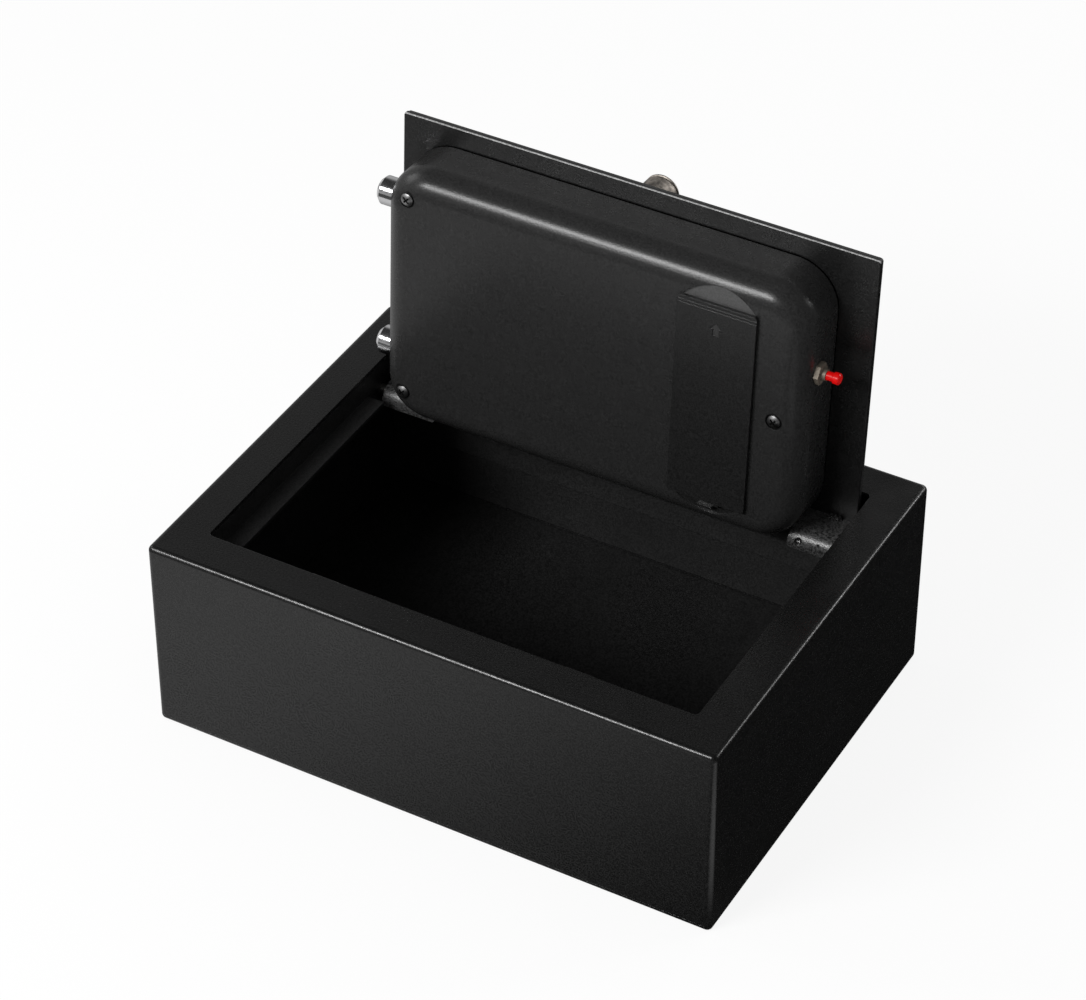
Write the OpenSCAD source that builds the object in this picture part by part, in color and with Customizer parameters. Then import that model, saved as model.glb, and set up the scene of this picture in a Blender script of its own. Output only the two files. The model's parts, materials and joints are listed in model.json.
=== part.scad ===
// Drawer safe: a shallow steel case with a lid on two short hinge pins. The lid
// carries a moulded lock housing with two side bolts, a knob, a keypad, a battery
// box, a reset button and an emergency key lock. Drawn with the lid open.
// Origin: centre of the base. +X right, +Y towards the hinges, +Z up.

/* [Case] */
// Width of the case
case_w = 290; // [280:1:310]
// Depth of the case
case_d = 214; // [206:1:224]
// Height of the case
case_h = 104; // [100:1:116]
// Thickness of the steel sheet
sheet_t = 2; // [1.6:0.1:2.4]
// Outside radius of the upright corners
corner_r = 2.8; // [2.8:0.1:4]
// Outside bend radius along the top edges
top_edge_r = 2.5; // [1:0.1:2.6]
// Outside bend radius along the base edges
base_edge_r = 2.4; // [2:0.1:2.6]

/* [Opening] */
// Width of the flange at the sides
flange_side = 20; // [17:0.5:22]
// Width of the flange at the front
flange_front = 21; // [18:0.5:24]
// Width of the flange at the rear
flange_rear = 20; // [17:0.5:22]
// Corner radius of the opening
opening_r = 2.5; // [1:0.5:5]
// Gap between the closed lid and the flange
lid_gap = 3; // [2:0.1:4]

/* [Side rails] */
// Depth from the case's top to the underside of the ledge
ledge_depth = 15.5; // [14.5:0.1:16]
// Reach of the ledge past the opening's edge
ledge_w = 9; // [6:0.1:9]
// Distance from the hinge pins to the end of the ledge
ledge_to_hinge = 13; // [12:0.5:20]
// Drop of the hinge tabs under the case's top
tab_drop = 25.5; // [23:0.5:30]
// Distance from the opening's ends to the ends of a rail
rail_end_gap = 2; // [1:0.5:4]

/* [Hinge] */
// Distance from the lid's rear edge to the hinge pins
hinge_inset = 18.5; // [17:0.5:20]
// Distance from the lid's underside down to the hinge pins
hinge_drop = 13.5; // [12.5:0.1:14]
// Angle of the open lid on its stop
open_angle = 93.3; // [90.5:0.1:96]
// Diameter of the hinge pins
pin_d = 6; // [5:0.1:6]
// Radial running clearance of pins and shafts
run_gap = 0.05; // [0.02:0.01:0.09]
// Diameter of a hinge pin's head
pin_head_d = 10; // [9:0.5:12]
// Width of the left hinge bracket
left_bracket_w = 29.5; // [24:0.5:30]
// Width of the right hinge bracket
right_bracket_w = 24.5; // [20:0.5:24.5]
// Distance from the lid's side edge to a hinge bracket
bracket_inset = 1; // [0.5:0.1:2]
// Distance from the pins forward to a bracket's front face
bracket_front = 5.5; // [5.2:0.1:6]
// Distance from the pins back to the end of a bracket's flange
bracket_rear = 4; // [3.8:0.1:6]
// Distance from the pins down to a bracket's flange
bracket_drop = 7; // [6.5:0.1:7.5]
// Outside bend radius of a bracket
bracket_bend_r = 8.5; // [7:0.1:8.5]
// Diameter of the bracket's set screws
set_screw_d = 3.5; // [3:0.1:4]
// Distance from a bracket's set screw to the punch mark that stakes the pin
punch_pitch = 10; // [8:0.5:12]
// Distance from a bracket's inner end to its set screw
set_screw_in = 5.5; // [4:0.5:7]

/* [Lid] */
// Thickness of the lid's steel plate
lid_plate_t = 2.5; // [2:0.1:3]
// Thickness of the lid's outer panel
lid_panel_t = 1.5; // [1:0.1:2]
// Corner radius of the lid
lid_corner_r = 1.5; // [1.5:0.1:6]
// Rounding of the edges of the lid's plate and panel
lid_edge_r = 0.6; // [0.2:0.1:0.7]
// Step between the edges of the lid's plate and panel
panel_step = 0.4; // [0:0.1:1]
// Reach of the stop angle's leg down the rear wall, from the base
stop_leg_low = 31; // [25:1:40]
// Overlap of the open lid's rear edge on the stop angle
stop_reach = 1.9; // [1.5:0.1:3]
// Gap between the lid and what it lands on
land_gap = 0.3; // [0.2:0.05:0.5]

/* [Lock housing] */
// Distance from the lid's left edge to the housing
housing_left = 7.2; // [7.2:0.1:9]
// Distance from the lid's right edge to the housing
housing_right = 18; // [16:0.5:20]
// Distance from the lid's front edge to the housing
housing_front = 10; // [9:0.5:10.5]
// Distance from the lid's rear edge to the housing
housing_rear = 19.3; // [19:0.1:21]
// Height of the housing off the lid
housing_h = 32; // [32:0.5:36]
// Wall of the housing
housing_wall = 2.2; // [1.8:0.1:2.4]
// Radius of the housing's long edges
housing_edge_r = 12; // [11:0.5:12.5]
// Radius of the housing's corners seen from inside the case
housing_corner_r = 22; // [22:0.5:26]
// Diameter of a housing screw's head
screw_head_d = 6.3; // [6:0.1:7]
// Height of a housing screw's head
screw_head_h = 1.8; // [1.5:0.1:2]
// Thread diameter of the housing screws
screw_d = 3; // [3:0.1:3.5]
// Length of a housing screw under its head
screw_l = 5.8; // [5.4:0.1:6]
// Diameter of the recess round a screw
recess_d = 8.2; // [7.6:0.1:9]
// Depth of the recess round a screw
recess_deep = 0.8; // [0.5:0.1:1.2]

/* [Bolts] */
// Diameter of a locking bolt
bolt_d = 14; // [12:0.5:14]
// Length of a locking bolt
bolt_l = 44; // [42:0.5:45.5]
// Reach of the thrown bolts past the lid's side edge
bolt_proud = 0; // [0:0.1:2]
// Distance from the lid's underside down to the bolts
bolt_drop = 19; // [19:0.1:19.4]
// Distance from the lid's front edge to the front bolt
bolt_front = 31.5; // [31:0.5:34]
// Distance from the lid's rear edge to the rear bolt
bolt_rear = 52.5; // [51:0.5:56]
// Chamfer of a bolt's tip
bolt_chamfer = 2; // [1:0.1:2.5]
// Travel of the bolts
bolt_travel = 14; // [13:0.5:14]
// Thickness of the bolt frame's sheet
frame_t = 2; // [1.5:0.1:2]
// Distance from the housing's left side to the frame's web
frame_left = 8.8; // [8.6:0.1:10]
// Width of the frame's web
frame_web_w = 18; // [17:0.5:20]
// Width of the frame's foot on the lid
frame_foot_w = 12; // [10:0.5:14]
// Thickness of the bolt carriage
carriage_t = 3; // [2.5:0.1:3.5]
// Height of the bolt carriage
carriage_h = 17.5; // [16.5:0.5:18]
// Thickness of the carriage's drive arm
arm_t = 2.5; // [2:0.1:3]
// Width of the carriage's drive arm
arm_w = 13; // [12.5:0.5:13]

/* [Knob] */
// Diameter of the knob
knob_d = 17.7; // [15:0.1:20]
// Height of the knob
knob_h = 23.2; // [18:0.1:26]
// Distance from the lid's front edge to the knob's axis
knob_front = 17.5; // [17.3:0.1:18]
// Diameter of the knob's shaft
shaft_d = 6; // [5:0.1:6]
// Turn of the knob
knob_turn = 90; // [80:1:100]
// Diameter of the crank pin
crank_pin_d = 4; // [3:0.1:4]
// Diameter of the shaft bush's flange
bush_flange_d = 10; // [9:0.1:10]

/* [Solenoid] */
// Diameter of the solenoid coil
coil_d = 19.6; // [17:0.1:19.8]
// Length of the solenoid coil
coil_l = 34; // [28:1:36]
// Diameter of the plunger
plunger_d = 6; // [5:0.1:6]
// Travel of the plunger
plunger_travel = 8; // [7:0.1:8]
// Depth of the carriage's notch for the plunger
notch_depth = 3; // [2:0.1:3]
// Distance from the knob's axis left to the plunger
plunger_left = 30; // [28:1:32]

/* [Batteries] */
// Diameter of a battery cell
cell_d = 14.2; // [13.5:0.1:14.5]
// Length of a battery cell
cell_l = 50.3; // [48:0.1:50.5]
// Width of the battery cover
cover_w = 39.5; // [38.5:0.5:42]
// Length of the battery cover
cover_l = 107.1; // [106.6:0.1:110]
// Height of the battery cover over the housing
cover_h = 2; // [1.5:0.1:2.5]
// Distance from the lid's right edge to the battery cover
cover_right = 42.3; // [42:0.1:45]
// Distance from the lid's front edge to the battery cover
cover_front = 25.6; // [24:0.1:26]
// Radius of the thumb scoops at the cover's ends
scoop_r = 23.5; // [22.5:0.5:26]
// Reach of the scoop past the cover's front end
scoop_front = 8.3; // [6:0.1:9]
// Reach of the scoop past the cover's rear end
scoop_rear = 7.6; // [5:0.1:7.6]
// Width of the cover's latch
latch_w = 13.5; // [10:0.5:14]
// Width of the latch's finger lip
lip_w = 7.2; // [6:0.1:8]

/* [Reset button] */
// Distance from the lid's front edge to the reset button
reset_front = 55; // [45:1:70]
// Distance from the lid's underside down to the reset button
reset_drop = 17.5; // [14:0.5:18.5]
// Diameter of the button's red cap
reset_cap_d = 5.6; // [5:0.1:6.5]
// Diameter of the button's threaded bush
reset_bush_d = 5.4; // [5:0.1:6]
// Width of the button's nut across its flats
reset_nut_af = 9.5; // [8:0.1:10]
// Travel of the button
reset_travel = 1.5; // [1:0.1:2]

/* [Keypad] */
// Width of the keypad
keypad_w = 54; // [52:1:60]
// Length of the keypad
keypad_l = 70; // [69:0.5:72]
// Height of the keypad
keypad_h = 4; // [3.6:0.1:5]
// Clearance from the keypad to the knob and to the key lock's cap
keypad_gap = 2.2; // [1:0.1:3]
// Distance between keys
key_pitch = 15; // [14:0.5:15.5]
// Diameter of a key
key_d = 11.5; // [10:0.1:12]
// Height of the keys over the keypad
key_proud = 1.3; // [1:0.1:2]
// Travel of a key
key_travel = 0.8; // [0.5:0.1:0.8]

/* [Emergency lock] */
// Diameter of the key lock's body
key_lock_d = 16; // [14:0.5:18]
// Diameter of the key lock's turning plug
key_plug_d = 9.6; // [9:0.1:11]
// Wall of the cap over the keyhole
key_cap_wall = 1; // [0.8:0.1:2]
// Length of the key lock's cam
key_cam_l = 22; // [16:1:24]

/* [Anchor holes] */
// Distance between anchor holes along the width
anchor_x = 140; // [120:1:180]
// Distance between anchor holes along the depth
anchor_y = 70; // [60:1:90]
// Distance from the case's centre forward to the anchor pattern
anchor_forward = 27; // [20:1:35]
// Diameter of an anchor hole
anchor_d = 8.5; // [6:0.5:10]

/* [Hidden] */
$fn = 64;
eps = 0.01;
bite = 1;

// The case and its opening
half_w = case_w / 2;
half_d = case_d / 2;
floor_top = sheet_t;
wall_foot = base_edge_r + 0.5;
under_flange = case_h - sheet_t;
inner_corner_r = corner_r - sheet_t;
fit_gap = 0.05;
open_x = half_w - flange_side;
open_front = -half_d + flange_front;
open_rear = half_d - flange_rear;
inner_x = half_w - sheet_t;
inner_rear = half_d - sheet_t;

// The lid as it lies closed
lid_x = open_x - lid_gap;
lid_front = open_front + lid_gap;
lid_rear = open_rear - lid_gap;
lid_t = lid_plate_t + lid_panel_t;
lid_under = case_h - lid_t;
plate_top = case_h - lid_panel_t;

// The hinge axis
hinge_y = lid_rear - hinge_inset;
hinge_z = lid_under - hinge_drop;

// Brackets and pins, for the left side
bracket_x0 = -lid_x + bracket_inset;
bracket_x1 = bracket_x0 + left_bracket_w;
bracket_end_r = 2;
punch_d = 1.4;
punch_deep = 1.5;
bracket_y0 = hinge_y - bracket_front;
bracket_y1 = hinge_y + bracket_rear;
bracket_z = hinge_z - bracket_drop;
tab_x0 = -open_x - sheet_t;
ledge_low = case_h - ledge_depth;

// The open lid's rear edge, turned about the hinge
stop_z = hinge_z - hinge_inset * sin(open_angle) + (hinge_drop + lid_t) * cos(open_angle) - land_gap;
stop_y = hinge_y + hinge_inset * cos(open_angle) + (hinge_drop + lid_t) * sin(open_angle) - stop_reach;

// The lock housing
house_x0 = -lid_x + housing_left;
house_x1 = lid_x - housing_right;
house_y0 = lid_front + housing_front;
house_y1 = lid_rear - housing_rear;
house_w = house_x1 - house_x0;
house_l = house_y1 - house_y0;
face_z = lid_under - housing_h;
face_in = face_z + housing_wall;

// Bolts, frame and carriage
bolt_tip_x = -lid_x - bolt_proud;
bolt_end_x = bolt_tip_x + bolt_l;
bolt_z = lid_under - bolt_drop;
bolt_y = [lid_front + bolt_front, lid_rear - bolt_rear];
bolt_r = bolt_d / 2;
web_z = face_in + 1;
web_x0 = house_x0 + frame_left;
web_x1 = web_x0 + frame_web_w;
web_y0 = house_y0 + 10;
web_y1 = house_y1 - 10.7;
web_corner_r = 10;
carriage_x = bolt_end_x;
carriage_low = bolt_z - bolt_r - 1.5;
arm_z = carriage_low + carriage_h - arm_t;
carriage_screw_d = 5;
carriage_screw_l = 8;
carriage_head_d = 9;
carriage_head_h = 3;
carriage_socket_af = 4;

// Knob, shaft and crank
knob_y = lid_front + knob_front;
crank_r = bolt_travel / (2 * sin(knob_turn / 2));
crank_t = 3;
crank_z = arm_z + arm_t + 1;
crank_pin_x = -crank_r * sin(knob_turn / 2);
crank_pin_y = knob_y + crank_r * cos(knob_turn / 2);
arm_front = knob_y + 2.5;
slot_play = 0.5;
slot_w = crank_pin_d + 2 * slot_play;
slot_y0 = crank_pin_y - slot_play;
slot_y1 = knob_y + crank_r + slot_play;
arm_end = crank_pin_x + slot_w / 2 + 8;
knob_lift = 0.3;

// Solenoid
plunger_x = -plunger_left;
plunger_z = arm_z + arm_t / 2;
plunger_r = plunger_d / 2;
notch_y = arm_front + arm_w - notch_depth;
plunger_tip = notch_y + land_gap;
collar_y = plunger_tip + 6.5;
collar_t = 1;
collar_d = plunger_d + 3;
coil_y0 = collar_y + collar_t + plunger_travel + 4.5;
end_plate_t = 1.6;
solenoid_w = 20;
spring_wire = 0.7;

// Batteries
cover_x1 = lid_x - cover_right;
cover_x0 = cover_x1 - cover_w;
cover_y0 = lid_front + cover_front;
cover_y1 = cover_y0 + cover_l;
cover_z = face_z - cover_h;
pocket_x = (cover_x0 + cover_x1) / 2;
pocket_y = (cover_y0 + cover_y1) / 2;
pocket_w = 2 * cell_d + 4.4;
cell_play = 0.2;
pocket_l = 2 * cell_l + 2.8;
pocket_wall = 1.6;
pocket_depth = cell_d + 1.4;
scoop_back = face_z + 4.4;
latch_l = 2.8;
lip_t = 0.9;
cell_z = face_z + 0.7 + cell_d / 2;

// Reset button
reset_y = lid_front + reset_front;
reset_z = lid_under - reset_drop;
reset_nut_t = 2.2;
reset_bush_out = 4.2;
reset_neck_d = 4.2;
reset_neck_l = 3.2;
reset_cap_l = 3.4;

// Keypad
keypad_y = knob_y + knob_d / 2 + keypad_gap + keypad_l / 2;
mat_t = 0.8;
key_z0 = case_h + mat_t + key_travel + 0.1;
key_top = case_h + keypad_h + key_proud;
key_gap = 0.25;
key_rows_y = keypad_y - 4;
key_names = ["1", "2", "3", "4", "5", "6", "7", "8", "9", "clear", "0", "enter"];

// Emergency lock
key_flange_d = key_lock_d + 4;
key_flange_t = 1.2;
key_cap_d = key_flange_d + 0.4 + 2 * key_cap_wall;
key_lock_y = keypad_y + keypad_l / 2 + keypad_gap + key_cap_d / 2;
key_lock_l = 17;
key_lock_low = lid_under - key_lock_l;
key_tail_l = 3.4;
key_cam_z = key_lock_low - key_tail_l;
key_cam_t = 2;

// A flat rounded rectangle from corner to corner
module round_rect(x0, y0, x1, y1, r) {
    translate([x0 + r, y0]) square([x1 - x0 - 2 * r, y1 - y0]);
    translate([x0, y0 + r]) square([x1 - x0, y1 - y0 - 2 * r]);
    for (x = [x0 + r, x1 - r], y = [y0 + r, y1 - r]) translate([x, y]) circle(r);
}

// The half section of a turned block whose top edge is rounded
module round_top_half(r, h, edge) {
    square([r, h - edge]);
    square([r - edge, h]);
    intersection() {
        translate([r - edge, h - edge]) circle(edge);
        square([r, h]);
    }
}

// The whole section of a bar whose two top edges are rounded
module round_top_bar(half, h, edge) {
    round_top_half(half, h, edge);
    mirror([1, 0]) round_top_half(half, h, edge);
}

// A block with rounded corners and a rounded top edge, standing on z = 0
module pillow(w, d, h, r, edge) {
    cx = w / 2 - r;
    cy = d / 2 - r;
    for (x = [-cx, cx], y = [-cy, cy]) translate([x, y, 0])
        rotate_extrude() round_top_half(r, h, edge);
    translate([-cx, 0, 0]) rotate([90, 0, 90]) linear_extrude(2 * cx)
        round_top_bar(d / 2, h, edge);
    translate([0, cy, 0]) rotate([90, 0, 0]) linear_extrude(2 * cy)
        round_top_bar(w / 2, h, edge);
}

// A sheet from corner to corner whose four edges are rounded on both faces
module rounded_sheet(x0, y0, x1, y1, t, r, edge) {
    w = x1 - x0;
    d = y1 - y0;
    translate([(x0 + x1) / 2, (y0 + y1) / 2, 0]) intersection() {
        pillow(w, d, t, r, edge);
        translate([0, 0, t]) mirror([0, 0, 1]) pillow(w, d, t, r, edge);
    }
}

// Places a piece of the lid, drawn as it lies closed, on the open lid
module on_lid() {
    translate([0, hinge_y, hinge_z]) rotate([-open_angle, 0, 0])
        translate([0, -hinge_y, -hinge_z]) children();
}

module hexagon(af, h) {
    cylinder(d = af / cos(30), h = h, $fn = 6);
}

module along_x(x0, y, z, d, l) {
    translate([x0, y, z]) rotate([0, 90, 0]) cylinder(d = d, h = l);
}

module along_y(x, y0, z, d, l) {
    translate([x, y0, z]) rotate([-90, 0, 0]) cylinder(d = d, h = l);
}

// Case: the four walls with the flange turned in round the opening
module case_shell() {
    color([0.12, 0.12, 0.13]) difference() {
        translate([0, 0, wall_foot])
            pillow(case_w, case_d, case_h - wall_foot, corner_r, top_edge_r);
        translate([0, 0, wall_foot - bite]) linear_extrude(under_flange - wall_foot + bite)
            round_rect(-inner_x, -inner_rear, inner_x, inner_rear, inner_corner_r);
        translate([0, 0, under_flange - bite]) linear_extrude(sheet_t + 2 * bite)
            round_rect(-open_x, open_front, open_x, open_rear, opening_r);
    }
}

// Base plate with a rounded rim that carries the walls
module base_plate() {
    color([0.12, 0.12, 0.13]) difference() {
        translate([0, 0, wall_foot]) mirror([0, 0, 1])
            pillow(case_w, case_d, wall_foot, corner_r, base_edge_r);
        translate([0, 0, floor_top]) linear_extrude(wall_foot)
            round_rect(-inner_x, -inner_rear, inner_x, inner_rear, inner_corner_r);
        for (x = [-1, 1], y = [-1, 1])
            translate([x * anchor_x / 2, -anchor_forward + y * anchor_y / 2, -bite])
                cylinder(d = anchor_d, h = floor_top + 2 * bite);
    }
}

// Upright leg of a side rail with its hinge tab, for the left side
module rail_leg(low) {
    y0 = open_front + rail_end_gap;
    y1 = open_rear - rail_end_gap;
    tab_y0 = hinge_y - ledge_to_hinge + 1.5;
    tab_low = case_h - tab_drop;
    tab_r = 4;
    difference() {
        union() {
            translate([tab_x0, y0, low]) cube([sheet_t, y1 - y0, under_flange - low]);
            translate([tab_x0, tab_y0 + tab_r, tab_low])
                cube([sheet_t, y1 - tab_y0 - 2 * tab_r, under_flange - tab_low]);
            translate([tab_x0, tab_y0, tab_low + tab_r])
                cube([sheet_t, y1 - tab_y0, under_flange - tab_low - tab_r]);
            for (y = [tab_y0 + tab_r, y1 - tab_r])
                along_x(tab_x0, y, tab_low + tab_r, 2 * tab_r, sheet_t);
        }
        along_x(tab_x0 - bite, hinge_y, hinge_z, pin_d + 2 * run_gap, sheet_t + 2 * bite);
    }
}

// Left rail: its ledge is what the bolts lock under
module left_strike_rail() {
    y0 = open_front + rail_end_gap;
    color([0.14, 0.14, 0.15]) {
        rail_leg(ledge_low);
        translate([tab_x0, y0, ledge_low])
            cube([sheet_t + ledge_w, hinge_y - ledge_to_hinge - y0, sheet_t]);
    }
}

// Right lip: the same leg and hinge tab without a ledge
module right_side_lip() {
    color([0.14, 0.14, 0.15]) mirror([1, 0, 0]) rail_leg(ledge_low + sheet_t);
}

// Angle on the rear wall that stops the open lid
module lid_stop_angle() {
    bend_r = sheet_t + 1;
    half_l = inner_x - inner_corner_r;
    color([0.11, 0.11, 0.12]) translate([-half_l, 0, 0]) rotate([90, 0, 90]) linear_extrude(2 * half_l) {
        translate([stop_y, stop_z - sheet_t]) square([inner_rear - bend_r - stop_y, sheet_t]);
        translate([inner_rear - sheet_t, stop_leg_low])
            square([sheet_t, stop_z - bend_r - stop_leg_low]);
        intersection() {
            translate([inner_rear - bend_r, stop_z - bend_r]) difference() {
                circle(bend_r);
                circle(bend_r - sheet_t);
            }
            translate([inner_rear - bend_r, stop_z - bend_r]) square(bend_r);
        }
    }
}

closing_x = 65;
closing_w = 16;
closing_drop = 12;
closing_ledge_z = case_h - closing_drop;
closing_reach = 6;
bumper_w = 4.4;
bumper_in = 1;

// Small angles under the front flange, with the pads that the closed lid rests on
module closing_stops() {
    color([0.14, 0.14, 0.15]) for (x = [-closing_x, closing_x]) {
        translate([x - closing_w / 2, open_front - sheet_t, closing_ledge_z])
            cube([closing_w, sheet_t, under_flange - closing_ledge_z]);
        translate([x - closing_w / 2, open_front - sheet_t, closing_ledge_z])
            cube([closing_w, sheet_t + closing_reach, sheet_t]);
    }
}

module closing_bumpers() {
    low = closing_ledge_z + sheet_t;
    color([0.05, 0.05, 0.05]) for (x = [-closing_x, closing_x])
        translate([x - closing_w / 2 + bumper_in, open_front + 0.1, low])
            cube([closing_w - 2 * bumper_in, bumper_w, lid_under - land_gap - low]);
}

// Lid plate, with its holes for the knob, the key lock and the keypad's ribbon
module lid_plate() {
    color([0.16, 0.16, 0.17]) on_lid() difference() {
        translate([0, 0, lid_under])
            rounded_sheet(-lid_x, lid_front, lid_x, lid_rear, lid_plate_t, lid_corner_r, lid_edge_r);
        lid_holes();
    }
}

module lid_panel() {
    color([0.13, 0.13, 0.14]) on_lid() difference() {
        translate([0, 0, plate_top]) rounded_sheet(-lid_x + panel_step, lid_front + panel_step,
            lid_x - panel_step, lid_rear - panel_step, lid_panel_t, lid_corner_r, lid_edge_r);
        lid_holes();
    }
}

bush_d = shaft_d + 3;
ribbon_w = 18;
ribbon_slot_w = 4;

module lid_holes() {
    translate([0, knob_y, lid_under - bite]) cylinder(d = bush_d + 2 * fit_gap, h = lid_t + 2 * bite);
    translate([0, key_lock_y, lid_under - bite])
        cylinder(d = key_lock_d + 2 * fit_gap, h = lid_t + 2 * bite);
    translate([-ribbon_w / 2, keypad_y - ribbon_slot_w / 2, lid_under - bite])
        cube([ribbon_w, ribbon_slot_w, lid_t + 2 * bite]);
}

// Outline of a hinge bracket's folded strip, seen from the side
module bracket_strip() {
    r = bracket_bend_r;
    t = sheet_t;
    difference() {
        union() {
            translate([bracket_y0, bracket_z + r]) square([t, lid_under - bracket_z - r]);
            translate([bracket_y0 + r, bracket_z]) square([bracket_y1 - bracket_y0 - r, t]);
            intersection() {
                translate([bracket_y0 + r, bracket_z + r]) difference() {
                    circle(r);
                    circle(r - t);
                }
                translate([bracket_y0, bracket_z]) square(r);
            }
        }
    }
}

// Outline of the cheek that closes a bracket's end
module bracket_cheek() {
    r = bracket_bend_r - sheet_t / 2;
    t = sheet_t / 2;
    difference() {
        union() {
            translate([bracket_y0 + t, bracket_z + t + r])
                square([bracket_y1 - bracket_y0 - t, lid_under - bracket_z - t - r]);
            translate([bracket_y0 + t + r, bracket_z + t])
                square([bracket_y1 - bracket_y0 - t - r, r + eps]);
            intersection() {
                translate([bracket_y0 + t + r, bracket_z + t + r]) circle(r);
                translate([bracket_y0 + t, bracket_z + t]) square(r + eps);
            }
        }
        translate([hinge_y, hinge_z]) circle(d = pin_d);
    }
}

// Hinge bracket for the left side: a folded strip with a cheek at each end. The
// corners of its flange are rounded.
module bracket(w) {
    x1 = bracket_x0 + w;
    difference() {
        union() {
            intersection() {
                translate([bracket_x0, 0, 0]) rotate([90, 0, 90]) linear_extrude(w) bracket_strip();
                translate([0, 0, bracket_z - bite]) linear_extrude(case_h)
                    round_rect(bracket_x0, bracket_y0 - 2 * bracket_end_r, x1, bracket_y1, bracket_end_r);
            }
            for (x = [bracket_x0, x1 - sheet_t])
                translate([x, 0, 0]) rotate([90, 0, 90]) linear_extrude(sheet_t) bracket_cheek();
        }
        translate([set_screw_x(w), hinge_y, bracket_z - bite])
            cylinder(d = set_screw_d + 2 * fit_gap, h = bracket_drop + bite - pin_d / 2);
        translate([set_screw_x(w) - punch_pitch, hinge_y - 1, bracket_z - bite])
            cylinder(d = punch_d, h = punch_deep + bite);
    }
}

function set_screw_x(w) = bracket_x0 + w - set_screw_in;

bracket_widths = [left_bracket_w, right_bracket_w];

module left_hinge_bracket() {
    color([0.13, 0.13, 0.14]) on_lid() bracket(left_bracket_w);
}

module right_hinge_bracket() {
    color([0.13, 0.13, 0.14]) on_lid() mirror([1, 0, 0]) bracket(right_bracket_w);
}

// Hinge pins: pressed in the brackets' cheeks, turning in the rails' tabs
module hinge_pins() {
    head_x = tab_x0 - land_gap;
    color([0.75, 0.74, 0.7]) on_lid() for (side = [0, 1]) mirror([side, 0, 0]) {
        along_x(head_x, hinge_y, hinge_z, pin_d, bracket_x0 + bracket_widths[side] - head_x);
        along_x(head_x - 2, hinge_y, hinge_z, pin_head_d, 2);
    }
}

// A set screw through each bracket's fold onto its pin
module hinge_set_screws() {
    socket_d = 1.8;
    socket_deep = 1.2;
    sink = 0.9;
    color([0.6, 0.6, 0.58]) on_lid() for (side = [0, 1]) mirror([side, 0, 0])
        translate([set_screw_x(bracket_widths[side]), hinge_y, bracket_z + sink]) difference() {
            cylinder(d = set_screw_d, h = bracket_drop - sink - pin_d / 2);
            translate([0, 0, -bite]) cylinder(d = socket_d, h = socket_deep + bite, $fn = 6);
        }
}

// Places of the housing screws: two go into the bolt frame, one into the pillar
screw_spots = [[web_x0 + 4.8, web_y0 + 4.2], [web_x0 + 3.4, web_y1 - 5.6]];
pillar_spot = [house_x1 - 13.5, (house_y0 + house_y1) / 2 - 0.5];

relief_gap = 1;
screw_play = 0.4;
boss_wall = 1.5;

module housing_outer() {
    translate([(house_x0 + house_x1) / 2, (house_y0 + house_y1) / 2, lid_under]) mirror([0, 0, 1])
        pillow(house_w, house_l, housing_h, housing_corner_r, housing_edge_r);
}

module housing_inner() {
    w = housing_wall;
    translate([(house_x0 + house_x1) / 2, (house_y0 + house_y1) / 2, lid_under + bite])
        mirror([0, 0, 1]) pillow(house_w - 2 * w, house_l - 2 * w, housing_h - w + bite,
            housing_corner_r - w, housing_edge_r - w);
}

// The corner of the housing that gives way to the left hinge bracket
module bracket_relief(grow) {
    edge = relief_gap + grow;
    translate([house_x0 - housing_corner_r, bracket_y0 - edge, bracket_z - edge])
        cube([bracket_x1 + edge - house_x0 + housing_corner_r, lid_rear - bracket_y0,
            lid_under - bracket_z + edge + bite]);
}

// A thumb scoop past an end of the cover: side -1 in front, 1 behind. Its floor
// is deepest at the far end.
module scoop(side, y, reach) {
    tilt = 8;
    translate([pocket_x, y, face_z + 0.8]) rotate([side * tilt, 0, 0])
        translate([0, 0, -8]) linear_extrude(8) intersection() {
            translate([0, side * (reach - scoop_r)]) circle(scoop_r);
            translate([-scoop_r, side > 0 ? -0.6 : -reach - 1]) square([2 * scoop_r, reach + 1.6]);
        }
}

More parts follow.
